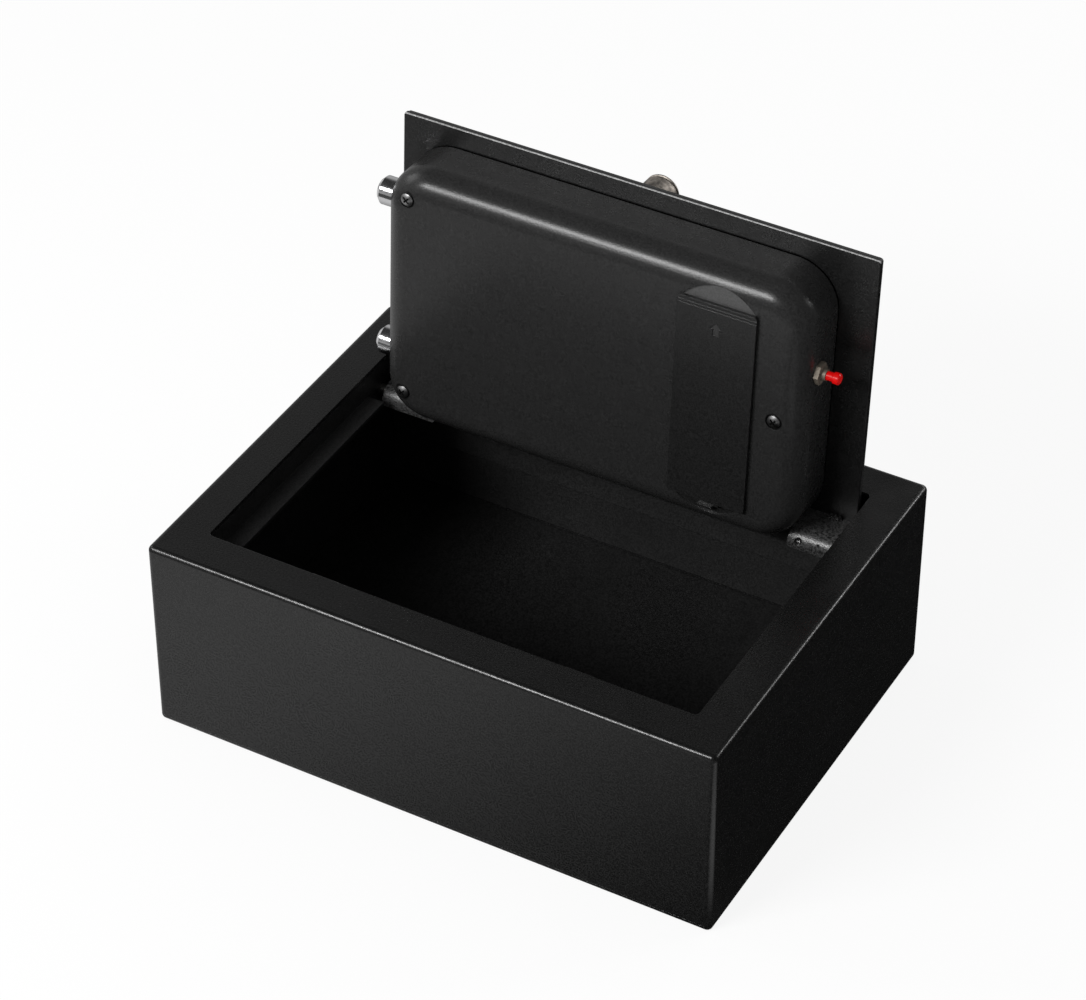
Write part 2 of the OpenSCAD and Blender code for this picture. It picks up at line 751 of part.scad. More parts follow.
// Lock housing: a moulded cover over the lock, with the battery box in it
module lock_housing() {
    color([0.15, 0.15, 0.16]) on_lid() difference() {
        union() {
            difference() {
                housing_outer();
                housing_inner();
            }
            intersection() {
                housing_outer();
                difference() {
                    union() {
                        bracket_relief(housing_wall - 0.6);
                        for (s = screw_spots) translate([s[0], s[1], face_z])
                            cylinder(d = recess_d + 2 * boss_wall, h = web_z - face_z);
                        translate([pillar_spot[0], pillar_spot[1], face_z])
                            cylinder(d = recess_d + 2 * boss_wall, h = web_z - face_z);
                        translate([pocket_x - pocket_w / 2 - pocket_wall,
                            pocket_y - pocket_l / 2 - pocket_wall, face_z])
                            cube([pocket_w + 2 * pocket_wall, pocket_l + 2 * pocket_wall,
                                pocket_depth + pocket_wall]);
                        translate([pocket_x - cover_w / 2, cover_y0 - scoop_front - 1.4, face_z])
                            cube([cover_w, cover_l + scoop_front + scoop_rear + 2.8, scoop_back - face_z]);
                    }
                    translate([0, 0, lid_under]) cube([case_w, case_d, eps], center = true);
                }
            }
        }
        bracket_relief(0);
        for (y = bolt_y) along_x(house_x0 - bite, y, bolt_z, bolt_d + 0.8, housing_edge_r + bite);
        for (s = concat(screw_spots, [pillar_spot])) translate([s[0], s[1], face_z - bite]) {
            cylinder(d = recess_d, h = recess_deep + bite);
            cylinder(d = screw_d + screw_play, h = web_z - face_z + 2 * bite);
        }
        translate([pocket_x - pocket_w / 2, pocket_y - pocket_l / 2, face_z - bite])
            cube([pocket_w, pocket_l, pocket_depth + bite]);
        along_x(house_x1 - housing_wall - bite, reset_y, reset_z, reset_bush_d + 2 * fit_gap,
            housing_wall + 2 * bite);
        scoop(-1, cover_y0, scoop_front);
        scoop(1, cover_y1, scoop_rear);
    }
}

// A pan-head screw whose head faces down, with a cross recess
module pan_screw(head_d, head_h, d, l) {
    slot_w = 0.9;
    slot_l = 0.6 * head_d;
    slot_deep = 0.6 * head_h;
    difference() {
        union() {
            intersection() {
                cylinder(d = head_d, h = head_h);
                translate([0, 0, head_d * 0.9]) sphere(r = head_d * 0.9);
            }
            translate([0, 0, head_h]) cylinder(d = d, h = l);
        }
        for (a = [45, 135]) rotate([0, 0, a])
            translate([-slot_l / 2, -slot_w / 2, -bite]) cube([slot_l, slot_w, slot_deep + bite]);
    }
}

module housing_screws() {
    color([0.5, 0.5, 0.5]) on_lid() for (s = concat(screw_spots, [pillar_spot]))
        translate([s[0], s[1], face_z + recess_deep - screw_head_h])
            pan_screw(screw_head_d, screw_head_h, screw_d, screw_l);
}

// Steel pillar on the lid plate that takes the third housing screw
module housing_pillar() {
    color([0.6, 0.6, 0.6]) on_lid() translate([pillar_spot[0], pillar_spot[1], web_z]) difference() {
        hexagon(7, lid_under - web_z);
        translate([0, 0, -bite]) cylinder(d = screw_d, h = 8 + bite);
    }
}

// Bolt frame: a folded sheet with a foot on the lid, a wall that guides the
// bolts and a web under the housing's face
module bolt_frame() {
    t = frame_t;
    wall_x = web_x1 - t;
    color([0.62, 0.62, 0.6]) on_lid() difference() {
        union() {
            translate([0, 0, web_z]) linear_extrude(t) difference() {
                round_rect(web_x0, web_y0, web_x1 + web_corner_r, web_y1, web_corner_r);
                translate([web_x1, web_y0 - bite])
                    square([web_corner_r + bite, web_y1 - web_y0 + 2 * bite]);
            }
            translate([wall_x, web_y0, web_z]) cube([t, web_y1 - web_y0, lid_under - web_z]);
            translate([wall_x, web_y0, lid_under - t]) cube([frame_foot_w, web_y1 - web_y0, t]);
        }
        for (y = bolt_y) along_x(wall_x - bite, y, bolt_z, bolt_d + 2 * run_gap, t + 2 * bite);
        for (s = screw_spots) translate([s[0], s[1], web_z - bite])
            cylinder(d = screw_d + 2 * fit_gap, h = t + 2 * bite);
    }
}

// Locking bolts with chamfered tips
module locking_bolts() {
    c = bolt_chamfer;
    color([0.8, 0.8, 0.8]) on_lid() for (y = bolt_y) translate([bolt_tip_x, y, bolt_z])
        rotate([0, 90, 0]) difference() {
            rotate_extrude() polygon([[0, 0], [bolt_r - c, 0], [bolt_r, c], [bolt_r, bolt_l], [0, bolt_l]]);
            translate([0, 0, bolt_l - carriage_screw_l - 1])
                cylinder(d = carriage_screw_d, h = carriage_screw_l + 1 + bite);
        }
}

// Bolt carriage: one folded plate that carries both bolts, with the drive arm
// that the crank pin moves and the plunger's notch in its rear edge
module bolt_carriage() {
    y1 = bolt_y[1] + bolt_r + 1;
    ramp = plunger_travel / bolt_travel;
    ramp_l = notch_depth / ramp;
    color([0.66, 0.66, 0.64]) on_lid() difference() {
        union() {
            translate([carriage_x, arm_front, carriage_low]) cube([carriage_t, y1 - arm_front, carriage_h]);
            translate([carriage_x, arm_front, arm_z]) cube([arm_end - carriage_x, arm_w, arm_t]);
        }
        for (y = bolt_y) along_x(carriage_x - bite, y, bolt_z, carriage_screw_d + 2 * fit_gap,
            carriage_t + 2 * bite);
        for (y = [slot_y0, slot_y1]) translate([crank_pin_x, y, arm_z - bite])
            cylinder(d = slot_w, h = arm_t + 2 * bite);
        translate([crank_pin_x - slot_w / 2, slot_y0, arm_z - bite])
            cube([slot_w, slot_y1 - slot_y0, arm_t + 2 * bite]);
        translate([0, 0, arm_z - bite]) linear_extrude(arm_t + 2 * bite) polygon([
            [plunger_x + plunger_r + 0.4, notch_y],
            [plunger_x + plunger_r + 0.4, notch_y + notch_depth + bite],
            [plunger_x - plunger_r - 0.5 - ramp_l, notch_y + notch_depth + bite],
            [plunger_x - plunger_r - 0.5 - ramp_l, notch_y + notch_depth],
            [plunger_x - plunger_r - 0.5, notch_y]]);
    }
}

module carriage_screws() {
    color([0.55, 0.55, 0.55]) on_lid() for (y = bolt_y) {
        along_x(bolt_end_x - carriage_screw_l, y, bolt_z, carriage_screw_d, carriage_screw_l + carriage_t);
        difference() {
            along_x(carriage_x + carriage_t, y, bolt_z, carriage_head_d, carriage_head_h);
            translate([carriage_x + carriage_t + carriage_head_h / 2, y, bolt_z]) rotate([0, 90, 0])
                hexagon(carriage_socket_af, carriage_head_h);
        }
    }
}

// Knob: a turned cylinder with a groove near its end
module knob() {
    r = knob_d / 2;
    foot = case_h + knob_lift;
    c = 0.8;
    groove = 0.5;
    color([0.68, 0.67, 0.64]) on_lid() translate([0, knob_y, foot]) difference() {
        rotate_extrude() polygon([[0, 0], [r - c, 0], [r, c], [r, knob_h - 3], [r - groove, knob_h - 2.6],
            [r - groove, knob_h - 1.8], [r, knob_h - 1.4], [r, knob_h - c], [r - c, knob_h], [0, knob_h]]);
        translate([0, 0, -bite]) cylinder(d = shaft_d, h = 12 + bite);
        translate([0, r * 0.5, knob_h - 0.6]) cube([1.6, r, 2], center = true);
    }
}

module knob_shaft() {
    color([0.6, 0.6, 0.6]) on_lid() translate([0, knob_y, crank_z])
        cylinder(d = shaft_d, h = case_h + knob_lift + 12 - crank_z);
}

// Bush that the shaft turns in, clamped through the lid
module knob_bush() {
    flange_t = 2;
    color([0.72, 0.6, 0.32]) on_lid() translate([0, knob_y, lid_under - flange_t]) difference() {
        union() {
            cylinder(d = bush_flange_d, h = flange_t);
            cylinder(d = bush_d, h = flange_t + lid_t);
        }
        translate([0, 0, -bite]) cylinder(d = shaft_d + 2 * run_gap, h = flange_t + lid_t + 2 * bite);
    }
}

// Crank on the shaft's inner end, with the pin that drives the carriage
module knob_crank() {
    hub_d = shaft_d + 3;
    tip_d = crank_pin_d + 3;
    color([0.6, 0.6, 0.58]) on_lid() {
        difference() {
            union() {
                translate([0, knob_y, crank_z]) cylinder(d = hub_d, h = crank_t);
                translate([crank_pin_x, crank_pin_y, crank_z]) cylinder(d = tip_d, h = crank_t);
                translate([0, knob_y, crank_z]) rotate([0, 0, knob_turn / 2])
                    translate([-tip_d / 2, 0, 0]) cube([tip_d, crank_r, crank_t]);
            }
            translate([0, knob_y, crank_z - bite]) cylinder(d = shaft_d, h = crank_t + 2 * bite);
        }
        translate([crank_pin_x, crank_pin_y, arm_z - 0.8])
            cylinder(d = crank_pin_d, h = crank_z - arm_z + 0.8 + eps);
    }
}

// Solenoid frame: a folded yoke on the lid plate
module solenoid_frame() {
    t = end_plate_t;
    top = plunger_z - coil_d / 2 - 0.6;
    base_t = lid_under - plunger_z - coil_d / 2 - 0.1;
    color([0.6, 0.6, 0.62]) on_lid() difference() {
        union() {
            for (y = [coil_y0 - t, coil_y0 + coil_l])
                translate([plunger_x - solenoid_w / 2, y, top]) cube([solenoid_w, t, lid_under - top]);
            translate([plunger_x - solenoid_w / 2, coil_y0 - t, lid_under - base_t])
                cube([solenoid_w, coil_l + 2 * t, base_t]);
        }
        along_y(plunger_x, coil_y0 - t - bite, plunger_z, plunger_d + 2 * run_gap, t + 2 * bite);
    }
}

module solenoid_coil() {
    rim = 1.2;
    color([0.7, 0.35, 0.15]) on_lid() difference() {
        union() {
            along_y(plunger_x, coil_y0, plunger_z, coil_d - 2, coil_l);
            along_y(plunger_x, coil_y0, plunger_z, coil_d, rim);
            along_y(plunger_x, coil_y0 + coil_l - rim, plunger_z, coil_d, rim);
        }
        along_y(plunger_x, coil_y0 - bite, plunger_z, plunger_d + 0.4, coil_l + 2 * bite);
    }
}

module solenoid_plunger() {
    l = coil_y0 + coil_l - 10 - plunger_tip;
    color([0.75, 0.75, 0.75]) on_lid() {
        along_y(plunger_x, plunger_tip, plunger_z, plunger_d, l);
        along_y(plunger_x, collar_y, plunger_z, collar_d, collar_t);
    }
}

// Spring between the solenoid frame and the plunger's collar
module plunger_spring() {
    turns = 5;
    y0 = collar_y + collar_t;
    pitch = (coil_y0 - end_plate_t - y0) / turns;
    color([0.7, 0.7, 0.72]) on_lid() for (i = [0:turns - 1])
        translate([plunger_x, y0 + (i + 0.5) * pitch, plunger_z]) rotate([90, 0, 0])
            rotate_extrude() translate([plunger_r + 0.3 + spring_wire / 2, 0])
                circle(d = spring_wire, $fn = 16);
}

module cell(x, y) {
    nub_d = 5;
    along_y(x, y, cell_z, cell_d, cell_l - 1.2);
    along_y(x, y + cell_l - 1.2, cell_z, nub_d, 1.2);
}

module battery_cells() {
    gap = (pocket_w - 2 * cell_d) / 3;
    color([0.3, 0.32, 0.34]) on_lid() for (sx = [-1, 1], i = [0, 1]) {
        x = pocket_x + sx * (cell_d + gap) / 2;
        y = pocket_y - cell_l + i * cell_l + (i - 0.5) * cell_play;
        if (sx > 0) cell(x, y);
        else translate([0, 2 * pocket_y, 0]) mirror([0, 1, 0]) cell(x, y);
    }
}

// Contact plates at the ends of the battery box
module battery_contacts() {
    t = (pocket_l - 2 * cell_l - cell_play) / 2;
    h = cell_d * 0.8;
    color([0.8, 0.78, 0.7]) on_lid() for (end = [-1, 1]) {
        y = pocket_y + end * (pocket_l / 2 - t / 2);
        translate([pocket_x, y, cell_z]) cube([pocket_w - 3, t, h], center = true);
    }
}

board_x0 = -12;
board_w = 44;
board_gap = 5;
crank_clear = 8;
board_in = 6;
chip_spot = [8, 14];
relay_y = 10;
board_y0 = knob_y + crank_r + crank_clear;
board_l = key_lock_y - key_lock_d / 2 - board_gap - board_y0;
board_t = 1.6;
board_z = lid_under - 5.6;
chip = [12, 12, 2];
relay = [10, 16, 6];
plug_socket = [12, 8, 3.5];
can_d = 8;
can_h = 8;
spacer_d = 5;
spacer_in = 4;

// A component on the board's free side, from its low corner on the board
module on_board(x, y, size) {
    translate([board_x0 + x, board_y0 + y, board_z - size[2]]) cube(size);
}

// Circuit board with its larger components
module circuit_board() {
    row = board_l * 0.7;
    color([0.1, 0.35, 0.18]) on_lid() {
        translate([board_x0, board_y0, board_z]) cube([board_w, board_l, board_t]);
        on_board(chip_spot[0], chip_spot[1], chip);
        on_board(board_w - relay[0] - board_in, relay_y, relay);
        on_board(board_w - plug_socket[0] - board_in, row, plug_socket);
        for (i = [0, 1]) translate([board_x0 + chip_spot[0] + can_d / 2, board_y0 + row - i * 1.4 * can_d,
            board_z - can_h]) cylinder(d = can_d, h = can_h);
    }
}

module board_spacers() {
    color([0.8, 0.8, 0.78]) on_lid() for (x = [board_x0 + spacer_in, board_x0 + board_w - spacer_in],
        y = [board_y0 + spacer_in, board_y0 + board_l - spacer_in])
        translate([x, y, board_z + board_t]) cylinder(d = spacer_d, h = lid_under - board_z - board_t);
}

// Battery cover: a flat plate with two grooves, an arrow and a latch whose lip
// stands off its tongue
module battery_cover() {
    r = 1.5;
    low = cover_z;
    tip_y = cover_y0 + 9.4;
    groove = 0.7;
    color([0.15, 0.15, 0.16]) on_lid() difference() {
        union() {
            translate([0, 0, low]) linear_extrude(cover_h - 0.1)
                round_rect(cover_x0, cover_y0, cover_x1, cover_y1, r);
            for (x = [-1, 1])
                translate([pocket_x + x * (pocket_w / 2 - 3) - 1, pocket_y - 20, face_z - 0.2])
                    cube([2, 40, 0.8]);
            translate([pocket_x - latch_w / 2, cover_y1 - bite, face_z - 1.1])
                cube([latch_w, latch_l - 1 + bite, 1]);
            translate([pocket_x - lip_w / 2, cover_y1 - bite, face_z - 1.1])
                cube([lip_w, latch_l + bite, 1]);
            translate([pocket_x - lip_w / 2, cover_y1 + latch_l - lip_t, low - 0.5])
                cube([lip_w, lip_t, face_z - 0.1 - low + 0.5]);
        }
        translate([0, 0, low - bite]) linear_extrude(bite + 0.45) {
            for (y = [1.5, 3.1]) translate([cover_x0 - bite, cover_y0 + y])
                square([cover_w + 2 * bite, groove]);
            polygon([[pocket_x - 2.9, tip_y + 3.3], [pocket_x, tip_y], [pocket_x + 2.9, tip_y + 3.3],
                [pocket_x + 1.5, tip_y + 3.3], [pocket_x + 1.5, tip_y + 6.8],
                [pocket_x - 1.5, tip_y + 6.8], [pocket_x - 1.5, tip_y + 3.3]]);
        }
    }
}

reset_x = house_x1;

// Reset switch: its body inside the housing and its threaded bush
module reset_switch() {
    color([0.75, 0.74, 0.7]) on_lid() difference() {
        union() {
            along_x(reset_x - housing_wall, reset_y, reset_z, reset_bush_d,
                housing_wall + reset_nut_t + reset_bush_out - 2);
            translate([reset_x - housing_wall - 10, reset_y - 4, reset_z - 4]) cube([10, 8, 8]);
        }
        along_x(reset_x - housing_wall - 5, reset_y, reset_z, reset_neck_d + 2 * run_gap, 20);
    }
}

module reset_nut() {
    color([0.7, 0.69, 0.64]) on_lid() difference() {
        translate([reset_x, reset_y, reset_z]) rotate([0, 90, 0]) hexagon(reset_nut_af, reset_nut_t);
        along_x(reset_x - bite, reset_y, reset_z, reset_bush_d, reset_nut_t + 2 * bite);
    }
}

// Reset button: its neck slides in the bush
module reset_button() {
    bush_end = reset_x + reset_nut_t + reset_bush_out - 2;
    cap_x = bush_end + reset_neck_l;
    stem_x = reset_x - housing_wall - 5 + reset_travel + 0.3;
    color([0.8, 0.05, 0.04]) on_lid() {
        along_x(stem_x, reset_y, reset_z, reset_neck_d, cap_x - stem_x);
        translate([cap_x, reset_y, reset_z]) rotate([0, 90, 0]) rotate_extrude() polygon([[0, 0],
            [reset_cap_d / 2 - 0.5, 0], [reset_cap_d / 2, 0.5], [reset_cap_d / 2, reset_cap_l - 0.6],
            [reset_cap_d / 2 - 0.6, reset_cap_l], [0, reset_cap_l]]);
    }
}

// The place of key i, counted along the rows from the far left
function key_spot(i) = [(i % 3 - 1) * key_pitch, key_rows_y + (1.5 - floor(i / 3)) * key_pitch];

module keypad_bezel() {
    r = 5;
    low = case_h;
    w = keypad_w / 2;
    l = keypad_l / 2;
    rim = 1.6;
    color([0.1, 0.1, 0.11]) on_lid() difference() {
        translate([0, keypad_y, low]) pillow(keypad_w, keypad_l, keypad_h, r, 1.2);
        translate([0, 0, low - bite]) linear_extrude(mat_t + bite)
            round_rect(-w + rim, keypad_y - l + rim, w - rim, keypad_y + l - rim, r - rim);
        for (i = [0:11]) translate([key_spot(i)[0], key_spot(i)[1], low])
            cylinder(d = key_d + 2 * key_gap, h = keypad_h + bite);
        for (x = light_x) translate([x, light_y, low]) cylinder(d = light_d, h = keypad_h + bite);
    }
}

light_x = [-10, 0, 10];
light_d = 3;
light_y = keypad_y + keypad_l / 2 - 6;

module keypad_mat() {
    w = keypad_w / 2 - 2;
    l = keypad_l / 2 - 2;
    color([0.25, 0.25, 0.26]) on_lid() translate([0, 0, case_h]) linear_extrude(mat_t - 0.05)
        round_rect(-w, keypad_y - l, w, keypad_y + l, 3);
}

module status_lights() {
    color([0.5, 0.75, 0.4]) on_lid() for (x = light_x) translate([x, light_y, case_h + mat_t]) {
        cylinder(d = light_d, h = keypad_h - mat_t);
        translate([0, 0, keypad_h - mat_t]) intersection() {
            translate([0, 0, -light_d * 0.4]) sphere(d = light_d * 1.28);
            cylinder(d = light_d, h = 2);
        }
    }
}

// A key: a round button with a flange under the bezel's top
module key(i) {
    r = key_d / 2;
    h = key_top - key_z0;
    color([0.72, 0.72, 0.74]) on_lid() translate([key_spot(i)[0], key_spot(i)[1], key_z0])
        rotate_extrude() polygon([[0, 0], [r, 0], [r, h - 0.5], [r - 0.5, h], [0, h - 0.3]]);
}

// Key lock: a threaded body through the lid, a nut under it, a turning plug
module key_lock_body() {
    color([0.66, 0.65, 0.62]) on_lid() translate([0, key_lock_y, 0]) difference() {
        union() {
            translate([0, 0, key_lock_low]) cylinder(d = key_lock_d, h = case_h - key_lock_low);
            translate([0, 0, case_h]) cylinder(d = key_flange_d, h = key_flange_t);
        }
        translate([0, 0, key_lock_low - bite])
            cylinder(d = key_plug_d + 2 * run_gap, h = case_h - key_lock_low + key_flange_t + 2 * bite);
    }
}

module key_lock_nut() {
    nut_t = 3;
    color([0.7, 0.69, 0.64]) on_lid() translate([0, key_lock_y, lid_under - nut_t]) difference() {
        hexagon(key_lock_d + 4, nut_t);
        translate([0, 0, -bite]) cylinder(d = key_lock_d, h = nut_t + 2 * bite);
    }
}

module key_lock_plug() {
    top = case_h + key_flange_t - 0.2;
    color([0.78, 0.72, 0.5]) on_lid() translate([0, key_lock_y, 0]) difference() {
        union() {
            translate([0, 0, key_lock_low]) cylinder(d = key_plug_d, h = top - key_lock_low);
            translate([0, 0, key_cam_z]) cylinder(d = 6, h = key_lock_low - key_cam_z);
        }
        translate([-3.4, -0.8, top - 14]) cube([6.8, 1.6, 15]);
    }
}

// Cam on the plug's tail, which pulls the solenoid plunger in an emergency
module key_lock_cam() {
    color([0.6, 0.6, 0.58]) on_lid() translate([0, key_lock_y, key_cam_z]) difference() {
        union() {
            cylinder(d = 11, h = key_cam_t);
            translate([-key_cam_l + 4, -4, 0]) cube([key_cam_l - 4, 8, key_cam_t]);
            translate([-key_cam_l + 4, 0, 0]) cylinder(d = 8, h = key_cam_t);
        }
        translate([0, 0, -bite]) cylinder(d = 6, h = key_cam_t + 2 * bite);
    }
}

// Round cap pushed over the keyhole
module key_lock_cap() {
    top_t = 1;
    h = key_flange_t + 0.2 + top_t;
    color([0.13, 0.13, 0.14]) on_lid() translate([0, key_lock_y, case_h]) difference() {
        rotate_extrude() round_top_half(key_cap_d / 2, h, 1.2);
        translate([0, 0, -bite]) cylinder(d = key_flange_d + 0.4, h = h - top_t + bite);
    }
}

case_shell();
base_plate();
left_strike_rail();
right_side_lip();
lid_stop_angle();
closing_stops();
closing_bumpers();
lid_plate();
lid_panel();
left_hinge_bracket();
right_hinge_bracket();
hinge_pins();
hinge_set_screws();
lock_housing();
housing_screws();
housing_pillar();
bolt_frame();
battery_cells();
battery_contacts();
circuit_board();
board_spacers();
solenoid_frame();
solenoid_coil();
plunger_spring();
knob_bush();
reset_switch();
reset_nut();
keypad_bezel();
keypad_mat();
status_lights();
key_lock_body();
key_lock_nut();
locking_bolts();
bolt_carriage();
carriage_screws();
knob();
knob_shaft();
knob_crank();
solenoid_plunger();
battery_cover();
reset_button();
key_lock_plug();
key_lock_cam();
key_lock_cap();
key(0);  // key_1
key(1);  // key_2
key(2);  // key_3
key(3);  // key_4
key(4);  // key_5
key(5);  // key_6
key(6);  // key_7
key(7);  // key_8
key(8);  // key_9
key(9);  // key_clear
key(10);  // key_0
key(11);  // key_enter
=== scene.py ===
"""Looks of the drawer safe: materials, small fittings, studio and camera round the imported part."""
import json
import math

import bmesh
import bpy
from mathutils import Matrix, Vector


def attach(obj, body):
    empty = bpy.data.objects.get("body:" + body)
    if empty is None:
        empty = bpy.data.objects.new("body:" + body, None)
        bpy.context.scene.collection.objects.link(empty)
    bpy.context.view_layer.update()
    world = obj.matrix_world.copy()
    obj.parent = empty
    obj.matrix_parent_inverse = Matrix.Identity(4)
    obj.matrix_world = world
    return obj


MM = 0.001

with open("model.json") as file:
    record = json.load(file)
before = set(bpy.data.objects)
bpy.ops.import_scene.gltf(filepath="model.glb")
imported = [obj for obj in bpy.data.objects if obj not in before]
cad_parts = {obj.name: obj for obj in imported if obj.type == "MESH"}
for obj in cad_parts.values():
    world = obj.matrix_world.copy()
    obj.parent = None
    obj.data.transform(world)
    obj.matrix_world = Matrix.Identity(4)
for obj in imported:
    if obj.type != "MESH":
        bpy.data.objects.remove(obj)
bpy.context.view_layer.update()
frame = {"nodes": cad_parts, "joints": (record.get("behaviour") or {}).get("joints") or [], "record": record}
NODES = frame["nodes"]

# The photograph's camera, fitted to the case's edges. Lengths in metres, angles in degrees
PHOTO_WIDTH = 1086
FOCAL_PIXELS = 3917.3
SENSOR_WIDTH = 36
CAMERA_PLACE = Vector((0.67803, -1.20923, 1.23364))
CAMERA_AZIMUTH = 29.251
CAMERA_ELEVATION = 38.950
CAMERA_ROLL = 0.01

# The lid as drawn closed turns back by this angle about the hinge pins
OPEN_ANGLE = math.radians(93.3)
HINGE = Vector(next(j["pos_m"] for j in frame["joints"] if j["name"] == "lid_hinge"))
LID = Matrix.Translation(HINGE) @ Matrix.Rotation(-OPEN_ANGLE, 4, "X") @ Matrix.Translation(-HINGE)


# Studio. A gloss slope is a direction, where along it the slope starts and ends, and the level that
# gloss sees at each end
FLOOR_HALF = 6
FLOOR_COLOR = (0.92, 0.92, 0.92)
SHADOW_SHARE = 0.12
FLOOR_GLOSS = ((-0.8, -0.6, 0), -0.09, 0.27, 0.016, 0.62)
FLOOR_FADE = ((-0.8, -0.6, 0), 0.34, 0.52, 1.0, 0.10)
FLOOR_REAR = ((-0.45, 0.89, 0), 0.20, 0.60, 0.0, 0.30)
# A bright spot of the floor by the near corner: its place, its outer and inner radius, and their levels
FLOOR_GLINT = ((0.215, -0.140, 0), 0.08, 0.03, 0.0, 0.8)
WORLD_GLOSS = ((-0.6, 0.2, -0.775), -0.26, 0.10, 0.03, 0.40)
WORLD_FILL = 0.42
# Name, azimuth and elevation in degrees, distance, width and height in metres, power in watts
LAMPS = (
    ("key", -25, 38, 1.9, 0.85, 0.34, 26),
    ("left", -85, 30, 1.9, 0.8, 0.8, 4.5),
    ("rim", 137, 22, 1.9, 0.5, 0.3, 5),
    ("back", 172, 24, 1.9, 0.9, 0.4, 4),
)
LAMP_TARGET = Vector((0, 0, 0.1))


# Shader nodes
class Shader:
    """A material's node tree with short calls for the nodes used here."""

    def __init__(self, name, color, roughness, metallic=0.0, specular=0.5):
        self.material = bpy.data.materials.new(name)
        self.material.use_nodes = True
        self.tree = self.material.node_tree
        self.principled = self.tree.nodes["Principled BSDF"]
        self.set("Base Color", (*color, 1))
        self.set("Roughness", roughness)
        self.set("Metallic", metallic)
        self.set("Specular IOR Level", specular)
        self.place = self.node("ShaderNodeTexCoord").outputs["Object"]
        self.bump_normal = None

    def node(self, kind, **values):
        made = self.tree.nodes.new(kind)
        for key, value in values.items():
            setattr(made, key, value)
        return made

    def set(self, socket, value):
        self.principled.inputs[socket].default_value = value

    def link(self, output, target):
        self.tree.links.new(output, target)

    def stretched(self, scale):
        """Object coordinates with their own scale along each axis."""
        mapping = self.node("ShaderNodeMapping")
        mapping.inputs["Scale"].default_value = scale
        self.link(self.place, mapping.inputs["Vector"])
        return mapping.outputs["Vector"]

    def noise(self, size, detail=2.0, roughness=0.5, place=None):
        """Noise whose features are about size metres across."""
        made = self.node("ShaderNodeTexNoise")
        made.inputs["Scale"].default_value = 1 / size
        made.inputs["Detail"].default_value = detail
        made.inputs["Roughness"].default_value = roughness
        self.link(place or self.place, made.inputs["Vector"])
        return made.outputs["Fac"]

    def cells(self, size, randomness=1.0):
        made = self.node("ShaderNodeTexVoronoi")
        made.inputs["Scale"].default_value = 1 / size
        made.inputs["Randomness"].default_value = randomness
        self.link(self.place, made.inputs["Vector"])
        return made.outputs["Distance"]

    def ramp(self, value, low, high, from_low=0.0, from_high=1.0):
        made = self.node("ShaderNodeMapRange")
        made.inputs["From Min"].default_value = from_low
        made.inputs["From Max"].default_value = from_high
        made.inputs["To Min"].default_value = low
        made.inputs["To Max"].default_value = high
        self.link(value, made.inputs["Value"])
        return made.outputs["Result"]

    def mixed(self, first, second, operation):
        made = self.node("ShaderNodeMath", operation=operation)
        self.link(first, made.inputs[0])
        self.link(second, made.inputs[1])
        return made.outputs[0]

    def grey(self, value, level):
        """Grey base colour: level times value."""
        scaled = self.node("ShaderNodeMath", operation="MULTIPLY")
        scaled.inputs[1].default_value = level
        self.link(value, scaled.inputs[0])
        self.link(scaled.outputs[0], self.principled.inputs["Base Color"])

    def color(self, value, low, high, from_low=0.0, from_high=1.0):
        """Base colour that runs from low to high with value."""
        made = self.node("ShaderNodeValToRGB")
        made.color_ramp.elements[0].position = from_low
        made.color_ramp.elements[1].position = from_high
        made.color_ramp.elements[0].color = (*low, 1)
        made.color_ramp.elements[1].color = (*high, 1)
        self.link(value, made.inputs["Fac"])
        self.link(made.outputs["Color"], self.principled.inputs["Base Color"])

    def roughness(self, value, low, high, from_low=0.3, from_high=0.7):
        self.link(self.ramp(value, low, high, from_low, from_high), self.principled.inputs["Roughness"])

    def soft_edges(self, radius):
        """Rounds sharp edges for the light, as paint or moulding does."""
        made = self.node("ShaderNodeBevel", samples=6)
        made.inputs["Radius"].default_value = radius
        self.bump_normal = made.outputs["Normal"]
        self.link(self.bump_normal, self.principled.inputs["Normal"])

    def bump(self, height, depth):
        """Adds relief of about depth metres; several calls add up."""
        made = self.node("ShaderNodeBump")
        made.inputs["Strength"].default_value = 1
        made.inputs["Distance"].default_value = depth
        self.link(height, made.inputs["Height"])
        if self.bump_normal:
            self.link(self.bump_normal, made.inputs["Normal"])
        self.bump_normal = made.outputs["Normal"]
        self.link(self.bump_normal, self.principled.inputs["Normal"])


def powder_coat(name, level, roughness, grain=0.0008, relief=0.00006, contrast=0.9, specks=0.0,
                edge=0.0004, specular=0.5):
    """Black powder coat: fine sand grain with faint cloudiness, and dust specks where asked."""
    s = Shader(name, (level, level, level), roughness, specular=specular)
    s.soft_edges(edge)
    fine = s.noise(grain, 1, 0.6)
    cloud = s.ramp(s.noise(0.04, 3), 0.92, 1.08, 0.35, 0.65)
    total = s.mixed(s.ramp(fine, 1 - contrast, 1 + contrast, 0.38, 0.62), cloud, "MULTIPLY")
    if specks:
        total = s.mixed(total, s.ramp(s.cells(0.0022), specks, 0, 0.05, 0.11), "ADD")
    s.grey(total, level)
    ground = s.ramp(s.noise(0.012, 3), roughness - 0.03, roughness + 0.03, 0.3, 0.7)
    grained = s.mixed(s.ramp(fine, 0.05, -0.05, 0.3, 0.7), ground, "ADD")
    s.link(grained, s.principled.inputs["Roughness"])
    s.bump(s.noise(grain * 0.8, 1, 0.6), relief)
    return s.material


